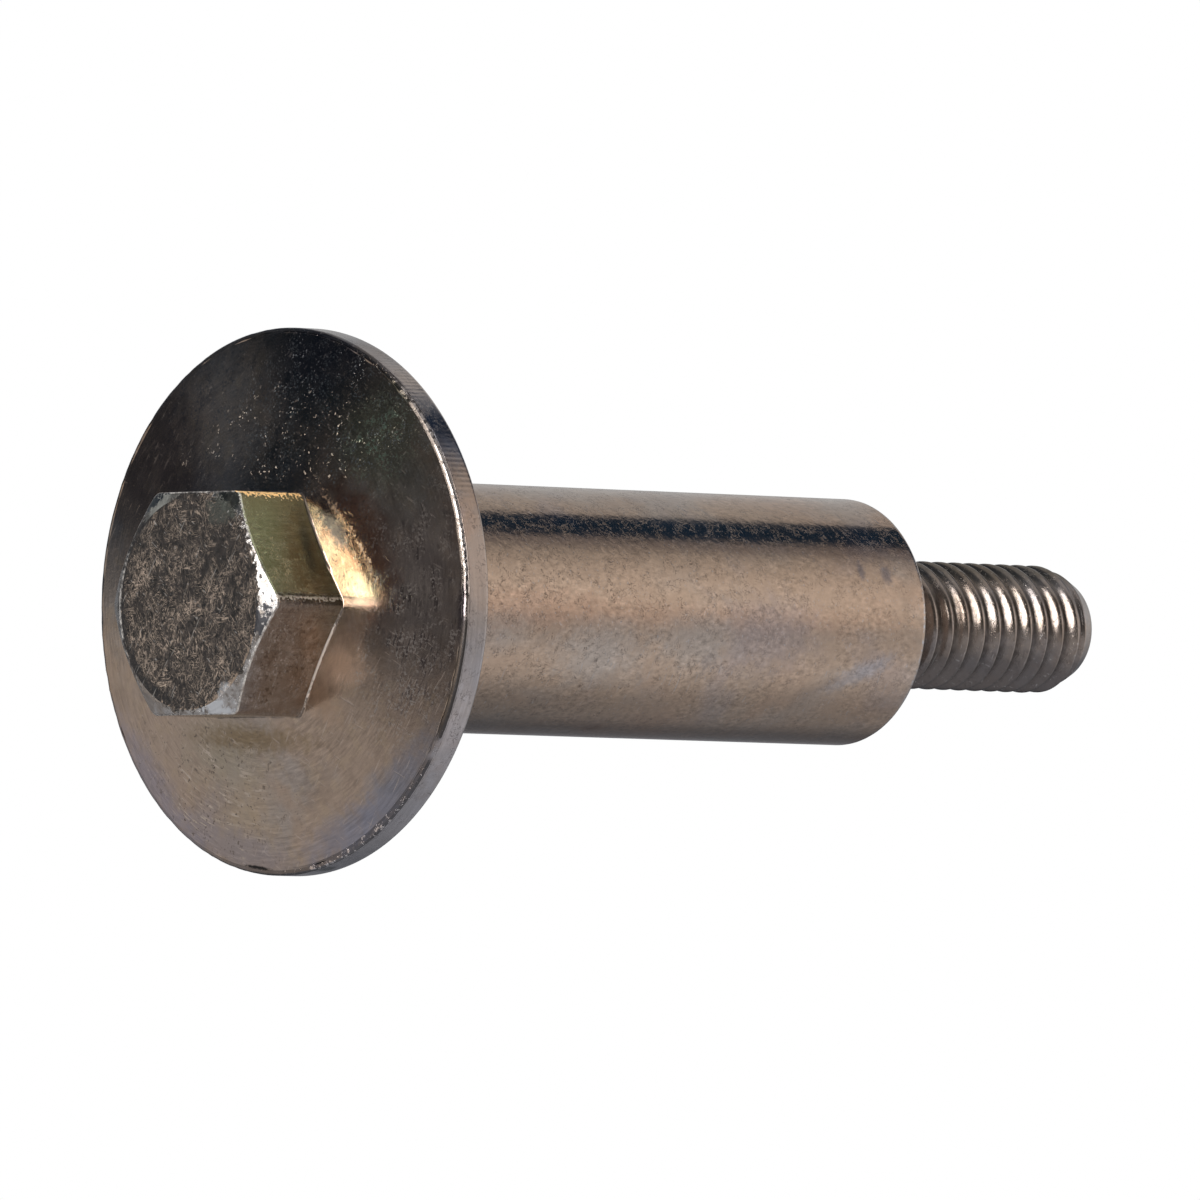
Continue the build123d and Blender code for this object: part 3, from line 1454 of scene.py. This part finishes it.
FINISHES: dict[Zone, Finish] = {
    Zone.END_FACE: Finish(
        "forged_face",
        rough=0.3,
        metal=0.9,
        peel=Peel(3.0, 10.0, 10.0, 3.0, 0.4),
        fibres=1.0,
        edge=(0.42, 0.39, 0.36),
        marks=(
            Mark((4.5, -2.9), (0.7, 0.55), CHALK, 0.5, dull=0.1),
            Mark((-4.2, -1.9), (0.9, 0.8), SOOT, 0.6),
        ),
    ),
    Zone.CHAMFER: Finish(
        "turned_chamfer",
        colour=(0.44, 0.41, 0.385),
        rough=0.26,
        peel=Peel(4.0, 10.0, 6.0, 4.0, 0.3),
        lines=Lines(Lie.RINGS, 9.0, 4.0, 0.12),
        patches=(Patch((0.19, 0.15, 0.12), 2.4, 0.45, 0.64, 0.7),),
        fibres=1.0,
        edge=(0.62, 0.58, 0.54),
        marks=(
            Mark((-4.6, -2.3), (1.2, 0.8), SOOT, 0.85),
            Mark((-4.6, 2.6), (1.2, 1.1), (0.22, 0.22, 0.20), 0.9),
            Mark((4.9, -2.1), (0.6, 0.9), CHALK, 0.8, ragged=1.8, dull=0.2),
            Mark((4.7, 3.1), (1.6, 1.5), (0.24, 0.20, 0.17), 0.75, ragged=1.5, dull=0.1),
            Mark((0.85, -5.0), (0.7, 0.5), (0.03, 0.03, 0.035), 0.95, 0, 0.2, 3.0, 0.2),
        ),
    ),
    Zone.FLATS: Finish(
        "pressed_flats",
        colour=(0.405, 0.345, 0.30),
        rough=0.2,
        chart=Chart.HEXAGON,
        peel=Peel(4.0, 4.0, 4.0, 4.0, 0.3),
        lines=Lines(Lie.AXIAL, 8.0, 2.0, 0.2, 9.0),
        patches=(
            Patch(BROWN, 0.5, 0.46, 0.66, 0.45),
            Patch((0.53, 0.48, 0.44), 1.3, 0.5, 0.64, 0.7),
        ),
        specks=(
            Specks((0.22, 0.17, 0.13), (2.9, -5.2), (2.8, 2.2), 5.0, 0.55, 1.2, 1.0, 0.0),
            Specks((0.58, 0.52, 0.47), (2.9, -5.2), (2.8, 2.2), 8.0, 0.57, 1.5, 0.98, 0.0),
        ),
        edge=(0.60, 0.56, 0.51),
        edge_metal=0.55,
        gaps=0.0,
        marks=(
            # Painted reflection: the olive tint over the upper flat stands in for the greenish
            # surroundings that it mirrors.
            Mark((-3.15, -5.0), (2.85, 14.0), (0.55, 0.57, 0.37), 1.0, soft=0.1, ragged=0.1),
            # Painted shade: the upper flat darkens towards its foot, where it meets the cone.
            Mark((-3.0, -2.7), (3.6, 1.7), (0.22, 0.21, 0.13), 0.75, soft=0.95, ragged=0.35),
            # Painted highlight: a dotted golden line along the upper flat's top corner, where the
            # rounded corner catches the light.
            Mark((-5.84, -5.0), (0.16, 9.0), (0.95, 0.58, 0.24), 1.0, ragged=5.0, dull=0.9),
            Mark((-0.24, -5.0), (0.06, 9.0), (0.55, 0.47, 0.40), 0.6, ragged=5.0, dull=0.6),
        ),
    ),
    Zone.CONE: Finish(
        "tumbled_cone",
        colour=TAN,
        rough=0.15,
        peel=Peel(6.0, 2.2, 0.0, 5.0, 0.0),
        lines=Lines(Lie.RINGS, 8.5, 2.2, 0.2, 2.8),
        patches=(
            Patch(GREY, 0.16, share=0.6),
            Patch(BROWN, 0.3, 0.5, 0.7, 0.35),
            Patch((0.47, 0.35, 0.235), 1.1, 0.5, 0.64, 0.35),
            Patch(BROWN, 1.8, 0.52, 0.64, 0.25),
        ),
        specks=(
            Specks(DUST, (-7.2, -1.0), (2.2, 5.8), 4.8, 0.655, 0.9, 0.3, 0.0),
            Specks((0.20, 0.18, 0.17), (-8.8, 3.4), (3.2, 5.2), 8.0, 0.54, 1.5, 1.0, 0.0),
            Specks((0.24, 0.26, 0.27), (-9.2, -3.4), (3.2, 6.5), 8.0, 0.64, 0.8, 0.72, 0.0),
            Specks((0.26, 0.28, 0.28), (-7.6, -3.5), (4.2, 6.5), 11.0, 0.58, 1.3, 0.935, 0.0),
            Specks((0.24, 0.31, 0.23), (-7.5, -6.5), (2.0, 2.0), 7.0, 0.52, 1.6, 0.93, 0.0),
            Specks((0.21, 0.17, 0.15), (0.2, -9.6), (4.6, 2.3), 1.0, 0.53, 1.2, 1.0, 0.0, STREAKS),
            Specks((0.44, 0.38, 0.33), (0.2, -9.2), (5.2, 3.0), 7.0, 0.55, 1.2, 0.93, 0.0),
            Specks((0.54, 0.44, 0.35), (8.9, 3.4), (2.4, 3.8), 1.0, 0.58, 1.0, 0.97, 0.0, STREAKS),
            Specks((0.11, 0.08, 0.06), (-2.9, -5.7), (2.2, 1.0), 7.0, 0.56, 2.0, 1.0, 0.0),
            Specks((0.15, 0.115, 0.09), (8.8, 4.0), (3.5, 5.0), 6.0, 0.61, 1.0, 1.0, 0.1),
        ),
        scratches=1.2,
        dusty=0.04,
        edge=(0.56, 0.46, 0.39),
        edge_metal=0.55,
        gaps=0.6,
        marks=(
            Mark((-7.8, -6.4), (2.2, 1.7), OLIVE, 0.6, 40, 0.7),
            Mark((-5.9, -8.2), (1.7, 2.2), (0.24, 0.25, 0.19), 0.6, 40, 0.8),
            Mark((-10.9, -2.0), (2.0, 2.6), INK, 0.65, 0, 0.8),
            Mark((-8.4, 3.0), (2.2, 2.8), (0.26, 0.225, 0.19), 0.35, 0, 0.8, 1.0, 0.13),
            Mark((9.4, 2.0), (2.0, 2.2), (0.47, 0.35, 0.225), 0.5, 0, 0.8),
            Mark((10.3, 4.6), (0.8, 2.6), LILAC, 0.6, -40, 0.8),
            Mark((-1.0, -9.8), (3.6, 2.2), (0.50, 0.43, 0.38), 0.7, 0, 0.8),
            Mark((11.2, 2.0), (0.9, 3.4), LILAC, 0.7, 10, 0.7),
            Mark((8.4, -8.0), (0.9, 4.0), (0.25, 0.25, 0.285), 0.8, -44, 0.8),
            Mark((10.3, -5.2), (0.9, 2.8), (0.26, 0.255, 0.30), 0.65, -27, 0.8),
            Mark((8.4, 8.2), (0.9, 3.6), (0.29, 0.26, 0.30), 0.65, 44, 0.8),
            Mark((4.1, -4.2), (0.7, 1.3), (0.50, 0.32, 0.20), 0.5, 40, 0.8),
            Mark((2.7, -5.6), (0.9, 1.3), (0.52, 0.34, 0.23), 0.7, 0, 0.8, 0.6, 0.2),
            Mark((-2.6, -6.2), (3.0, 1.5), (0.31, 0.17, 0.115), 0.95, -30, 0.5, 0.8),
            Mark((-0.6, -6.7), (0.8, 0.9), (0.50, 0.40, 0.31), 0.8, 0, 0.8, 0.8),
            Mark((-3.55, -4.75), (1.35, 0.42), (0.07, 0.06, 0.065), 0.95, -45, 0.6, 0.9),
            # Painted highlight: two thin orange strokes along the bright reflection on the cone
            # beside the upper flat.
            Mark((-3.6, -5.4), (1.3, 0.12), (0.60, 0.38, 0.23), 0.6, -46, 0.8, 3.6, 0.35),
            Mark((-1.8, -6.9), (1.2, 0.12), (0.60, 0.38, 0.23), 0.6, -33, 0.8, 3.6, 0.35),
            Mark((6.6, 2.2), (1.4, 2.6), (0.36, 0.31, 0.235), 0.6, 0, 0.8),
            Mark((6.2, 0.5), (0.5, 3.2), (0.25, 0.175, 0.10), 0.85, 0, 0.8, 1.0),
            Mark((11.97, 0.85), (0.075, 0.9), (0.01, 0.01, 0.01), 0.95, 4, 0.5, 0.6),
            Mark((0.0, -12.2), (1.6, 0.3), (0.14, 0.12, 0.135), 0.9, 0, 0.8, 0.6),
            Mark((-8.4, -1.0), (0.06, 1.1), DUST, 0.6, -20, 0.5, 0.2),
            Mark((-7.4, -2.6), (0.05, 1.4), DUST, 0.5, -50, 0.5, 0.2),
        ),
    ),
    Zone.RIM: Finish(
        "rolled_rim",
        colour=(0.295, 0.255, 0.23),
        rough=0.18,
        chart=Chart.RIM,
        chatter=300,
        peel=Peel(3.6, 6.0, 6.0, 3.0, 0.6),
        lines=Lines(Lie.ROUND, 6.0, 1.5, 0.12),
        patches=(Patch(STEEL, 0.2, 0.44, 0.62, 0.6), Patch(PINK, 0.25, 0.5, 0.7, 0.4)),
        edge=(0.40, 0.36, 0.34),
        gaps=0.9,
        marks=(
            Mark((-8.8, -0.7), (1.0, 1.0), INK, 0.4, 0, 0.6),
            Mark((-10.5, -0.7), (0.8, 1.2), (0.46, 0.43, 0.42), 0.7, 0, 0.8, dull=0.2),
            Mark((-11.4, -0.7), (1.9, 1.2), (0.46, 0.39, 0.35), 0.7, 0, 0.8),
            Mark((-16.6, -0.7), (2.4, 1.2), (0.10, 0.09, 0.10), 0.6, 0, 0.8),
            Mark((-5.8, -0.7), (1.2, 1.2), (0.42, 0.28, 0.18), 0.6, 0, 0.8),
            Mark((-2.2, -0.7), (2.6, 1.2), (0.37, 0.27, 0.215), 0.5, 0, 0.8),
            Mark((3.2, -0.7), (2.6, 1.4), (0.355, 0.32, 0.315), 0.7, 0, 0.8),
            Mark((12.5, -0.7), (6.2, 1.4), (0.45, 0.435, 0.46), 0.8, 0, 0.6),
            Mark((15.0, -0.7), (1.8, 1.4), (0.62, 0.59, 0.60), 0.9, 0, 0.8),
            Mark((6.4, -0.7), (1.3, 1.2), (0.32, 0.27, 0.25), 0.35, 0, 0.8),
            Mark((16.1, -0.9), (0.5, 0.35), SOOT, 0.9),
        ),
    ),
    Zone.SEAT: Finish(
        "turned_seat",
        rough=0.2,
        peel=Peel(5.0, 5.0, 4.0, 3.5, 0.3),
        lines=Lines(Lie.RINGS, 7.0, 3.0, 0.15),
        patches=(Patch(GREY, 0.2), Patch(BROWN, 0.4, share=0.3)),
    ),
    Zone.SHOULDER: Finish(
        "tumbled_shoulder",
        colour=(0.405, 0.30, 0.226),
        rough=0.14,
        spread=0.05,
        chart=Chart.SHOULDER,
        peel=Peel(2.7, 10.5, 5.0, 3.4, 0.7, 0.022),
        lines=Lines(Lie.LOOSE, 5.0, 3.4, 0.24),
        patches=(
            Patch(PINK, 0.10, 0.45, 0.65, 0.4, 1.6),
            Patch(GREY, 0.14, 0.46, 0.66, 0.6, 1.4),
            Patch(LILAC, 0.16, 0.52, 0.7, 0.5),
            Patch(BROWN, 0.7, 0.50, 0.72, 0.3),
        ),
        edge=(0.40, 0.41, 0.44),
        gaps=0.1,
        marks=(
            Mark((-0.2, 8.0), (0.8, 5.0), PINK, 0.5, 0, 0.8, 1.2),
            Mark((0.0, 19.0), (0.5, 9.0), PINK, 0.5, 0, 0.8, 1.2),
            Mark((-2.5, 29.35), (0.42, 0.2), INK, 0.55, 0, 0.6, 0.7),
            Mark((-2.35, 30.9), (0.45, 0.3), INK, 0.5, 0, 0.6, 0.7),
            Mark((2.35, 29.5), (0.42, 1.7), STEEL, 0.5, 24, 0.8),
            Mark((3.0, 27.6), (0.25, 1.3), BROWN, 0.35, 24, 0.8),
            Mark((0.7, 23.5), (1.5, 2.4), LILAC, 0.6, 0, 0.8),
            Mark((2.0, 19.9), (0.5, 0.4), INK, 0.3, 0, 0.7, 1.4),
            Mark((1.9, 13.2), (1.3, 2.4), GREY, 0.7, 0, 0.8),
            Mark((1.1, 19.0), (1.2, 2.0), GREY, 0.6, 0, 0.8),
            Mark((6.6, 15.7), (0.35, 0.5), RUST, 0.6, 0, 0.7),
            # Darker on the shoulder's lower side, next to the flange.
            Mark((5.4, 7.0), (1.4, 8.0), (0.21, 0.17, 0.14), 0.6, 0, 0.9),
        ),
    ),
    Zone.STEP: Finish("turned_step", colour=(0.36, 0.31, 0.28), lines=Lines(Lie.RINGS)),
    Zone.THREAD: Finish(
        "rolled_thread",
        colour=(0.33, 0.27, 0.23),
        rough=0.195,
        chart=Chart.SHOULDER,
        blotchy=0.25,
        marks=(
            # The stud is darker along its upper and lower sides.
            Mark((-8.6, 40.0), (3.4, 12.0), (0.12, 0.11, 0.09), 0.7, ragged=0.4),
            Mark((7.0, 40.0), (5.0, 12.0), (0.11, 0.10, 0.10), 0.8, ragged=0.4),
        ),
        peel=Peel(3.0, 5.0, 3.0, 3.0, 0.4),
        lines=Lines(Lie.LOOSE, 5.0, 1.5, 0.08),
        patches=(Patch(STEEL, 0.35, 0.45, 0.65, 0.3), Patch(BROWN, 0.5, 0.48, 0.65, 0.5)),
    ),
}


# ---------------------------------------------------------------------------
# Studio
# ---------------------------------------------------------------------------


@dataclass(frozen=True)
class ViewPoint:
    """Where the camera stands.

    Attributes:
        target: The point it looks at.
        azimuth: Round the axis, 0 looking along +Y, in degrees.
        elevation: Above the horizon, in degrees.
        roll: Clockwise turn of the picture, in degrees.
        distance: From the target.
        lens: Focal length in millimetres, on a sensor 36 mm wide.
    """

    target: tuple[float, float, float] = (-0.6 * MM, 1.0 * MM, 18.9 * MM)
    azimuth: float = 0.26
    elevation: float = -42.65
    roll: float = -92.15
    distance: float = 1033.7 * MM
    lens: float = 681.8

    def axes(self) -> tuple[Vector, Vector, Vector]:
        """Works out how the picture lies.

        Returns:
            Its right, its up, and the way back to the camera.
        """
        turn, tilt = math.radians(self.azimuth), math.radians(self.elevation)
        back = Vector(
            (-math.sin(turn) * math.cos(tilt), -math.cos(turn) * math.cos(tilt), math.sin(tilt))
        )
        level = Vector((0, 0, 1)).cross(back).normalized()
        upright = back.cross(level)
        lean = math.radians(self.roll)
        up = upright * math.cos(lean) + level * math.sin(lean)
        right = level * math.cos(lean) - upright * math.sin(lean)
        return right, up, back

    def direction(self, right: float, up: float, back: float) -> Vector:
        """A direction of the studio, given as the camera sees it."""
        return sum((a * s for a, s in zip(self.axes(), (right, up, back))), Vector()).normalized()

    def make(self) -> bpy.types.Object:
        """Makes the camera.

        Returns:
            The scene's camera, in its place.
        """
        right, up, back = self.axes()
        camera = put("camera", bpy.data.cameras.new("camera"))
        camera.data.lens = self.lens
        camera.data.sensor_width = 36.0
        camera.data.clip_start, camera.data.clip_end = 0.01, 10.0
        turned = Matrix((right, up, back)).transposed().to_4x4()
        away = Matrix.Translation(Vector(self.target) + back * self.distance)
        camera.matrix_world = away @ turned
        bpy.context.scene.camera = camera
        return camera


@dataclass(frozen=True)
class Card:
    """A soft-edged panel of the studio, far off, that the steel mirrors.

    Attributes:
        name: What it is.
        towards: Its middle, as the camera sees it: right, up and back.
        width: Half its width, level with the picture, in degrees.
        height: Half its height, in degrees.
        soft: Width of its soft edge, in degrees.
        glow: Its colour and brightness.
        adds: Whether it is a light in front of what is behind it.
    """

    name: str
    towards: tuple[float, float, float]
    width: float
    height: float
    soft: float
    glow: Colour
    adds: bool = False

    def mask(self, web: Web, ray: Socket, view: ViewPoint) -> Value:
        """Outlines the card in the sky.

        Args:
            web: The world's node tree.
            ray: The direction that is looked at.
            view: The camera's place, which the card is set out from.

        Returns:
            How much of the card shows there, from 0 to 1.
        """
        middle = view.direction(*self.towards)
        across = view.axes()[1].cross(middle).normalized()
        along = middle.cross(across)
        facing = web.dot(ray, tuple(middle))
        mask = facing.rise(0.0, 0.1)
        for side, half in ((across, self.width), (along, self.height)):
            inner = math.sin(math.radians(max(half - self.soft / 2, 0.0)))
            outer = math.sin(math.radians(min(half + self.soft / 2, 90.0)))
            mask = mask * abs(web.dot(ray, tuple(side))).rise(outer, inner)
        return mask


@dataclass(frozen=True)
class Studio:
    """A pale room: what the steel mirrors, two lamps and the floor.

    Attributes:
        view: The camera's place, which the cards are set out from.
        room: What the steel mirrors where no card stands.
        wash: Brightness of the light that falls from all round.
        floor_reach: Half the width of the floor, in metres.
        floor_fade: How far from the bolt it starts to fade, and where it is gone.
        cards: The panels, the later ones in front.
    """

    view: ViewPoint
    room: Colour = (0.59, 0.585, 0.58)
    wash: float = 0.85
    floor_reach: float = 4.0
    floor_fade: tuple[float, float] = (0.3, 1.5)
    cards: tuple[Card, ...] = (
        Card("table", (0.0, -1.0, 0.0), 90, 89, 18, (0.54, 0.55, 0.58)),
        Card("table_far_side", (0.10, -0.50, -0.86), 50, 32, 46, (0.13, 0.135, 0.15)),
        Card("dark_wall", (-0.82, 0.54, 0.05), 62, 26, 6, (0.07, 0.09, 0.12)),
        Card("wall_gap", (-0.945, 0.32, -0.02), 13, 10, 8, (0.01, 0.02, 0.035)),
        Card("wall_foot", (-0.885, 0.17, -0.435), 8, 4, 4, (0.03, 0.035, 0.05)),
        Card("near_dark", (-0.93, 0.09, 0.355), 16, 12, 12, (0.09, 0.09, 0.10)),
        Card("behind_camera", (0.0, 0.35, 1.0), 50, 30, 20, (0.10, 0.10, 0.10)),
        Card("bright_side", (0.97, 0.25, 0.05), 40, 17, 22, (0.92, 0.89, 0.87)),
        Card("dim_strip", (0.66, 0.67, -0.33), 8.5, 26, 8, (0.28, 0.28, 0.31)),
        Card("dark_strip", (0.54, 0.70, -0.46), 10, 26, 5, (0.01, 0.035, 0.08)),
        Card("top_light", (0.83, -0.29, -0.48), 31, 32, 24, (0.35, 0.35, 0.35), True),
    )

    def build(self) -> None:
        """Makes the world, the lamps and the floor."""
        self._world()
        self._lamps()
        self._floor()

    def _world(self) -> None:
        """White to the eye, a room of cards to the steel, and even light elsewhere."""
        world = bpy.data.worlds.new("studio")
        web = Web.of(world)
        ray = web.node("ShaderNodeTexCoord").outputs["Generated"]
        seen: object = self.room
        for card in self.cards:
            mode = "ADD" if card.adds else "MIX"
            seen = web.blend(card.mask(web, ray, self.view), seen, card.glow, mode)
        path = web.node("ShaderNodeLightPath").outputs
        eye, glossy, through = (
            Value(web, path[f"Is {kind} Ray"]) for kind in ("Camera", "Glossy", "Transmission")
        )
        light = web.blend(glossy, (self.wash,) * 3, seen)
        colour = web.blend(web.math("MAXIMUM", eye, through), light, (1.0, 1.0, 1.0))
        sky = web.node("ShaderNodeBackground", None, {"Color": colour, "Strength": 1.0})
        web.node("ShaderNodeOutputWorld", None, {"Surface": sky.outputs[0]})
        bpy.context.scene.world = world

    def _lamps(self) -> None:
        """The key softbox beside the camera, and a soft top light over the bolt."""
        middle = Vector(self.view.target)
        key = self.view.direction(-0.50, 0.28, 0.80)
        self._lamp("key", middle + key * 0.5, middle, (0.38, 0.28), 8.0)
        top = self._lamp("top", Vector((0.12, -0.1, 0.45)), Vector(), (0.5, 0.5), 0.35)
        top.visible_glossy = False

    @staticmethod
    def _lamp(
        name: str, place: Vector, aim: Vector, size: tuple[float, float], glow: float
    ) -> bpy.types.Object:
        """Makes a rectangular lamp.

        Args:
            name: The lamp's name.
            place: Where it is, in metres.
            aim: The point it faces.
            size: Width and height, in metres.
            glow: Radiance of its face, where 1 is white.

        Returns:
            The lamp.
        """
        lamp = put(name, bpy.data.lights.new(name, "AREA"))
        lamp.data.shape = "RECTANGLE"
        lamp.data.size, lamp.data.size_y = size
        lamp.data.energy = glow * math.pi * size[0] * size[1]
        lamp.location = place
        lamp.rotation_euler = (place - aim).to_track_quat("Z", "Y").to_euler()
        lamp.visible_camera = False
        return lamp

    def _floor(self) -> None:
        """A pale floor that only the eye sees, and only from above.

        Light passes through it, so that it neither darkens nor brightens the
        steel and the head can be looked at from below. It fades out far from
        the bolt, so that it ends in no line.
        """
        reach = self.floor_reach
        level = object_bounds()[0].z
        sides = ((-reach, -reach), (reach, -reach), (reach, reach), (-reach, reach))
        mesh = bpy.data.meshes.new("floor")
        mesh.from_pydata([(x, y, level) for x, y in sides], [], [(0, 1, 2, 3)])
        material = bpy.data.materials.new("pale_floor")
        web = Web.of(material)
        path = web.node("ShaderNodeLightPath").outputs
        under = Value(web, web.node("ShaderNodeNewGeometry").outputs["Backfacing"])
        x, y, _ = web.parts(web.node("ShaderNodeTexCoord").outputs["Object"])
        far = ((x * x + y * y) ** 0.5).rise(*self.floor_fade)
        shown = Value(web, path["Is Camera Ray"]) * (1 - under) * (1 - far)
        pale = web.node("ShaderNodeBsdfDiffuse", None, {"Color": (0.86, 0.86, 0.86, 1.0)})
        clear = web.node("ShaderNodeBsdfTransparent")
        mixed = web.node(
            "ShaderNodeMixShader", None, {0: shown, 1: clear.outputs[0], 2: pale.outputs[0]}
        )
        web.node("ShaderNodeOutputMaterial", None, {"Surface": mixed.outputs[0]})
        mesh.materials.append(material)
        put("floor", mesh)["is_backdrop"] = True


def main() -> None:
    """Builds the bolt, dresses it and lights it."""
    logging.basicConfig(level=logging.INFO, format="%(name)s: %(message)s")
    mounts = {mount["name"]: mount for mount in frame["record"]["mounts"]}
    low, high = cad_box
    shoulder_length = mounts["shoulder_end"]["pos_m"][2]
    bolt = Bolt(
        HexHead(low.z),
        Flange(high.x),
        Shoulder(mounts["shoulder"]["dims"]["r_mm"] * MM, shoulder_length),
        Stud(mounts["thread"]["dims"]["r_mm"] * MM, shoulder_length + STUD_LEAD, high.z),
    )
    view = ViewPoint()
    view.make()
    skin = bolt.build({zone: finish.make() for zone, finish in FINISHES.items()})
    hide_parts("bolt")
    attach(skin, "root")
    Studio(view).build()
    bpy.context.scene.view_settings.view_transform = "Standard"


if __name__ == "__main__":
    main()
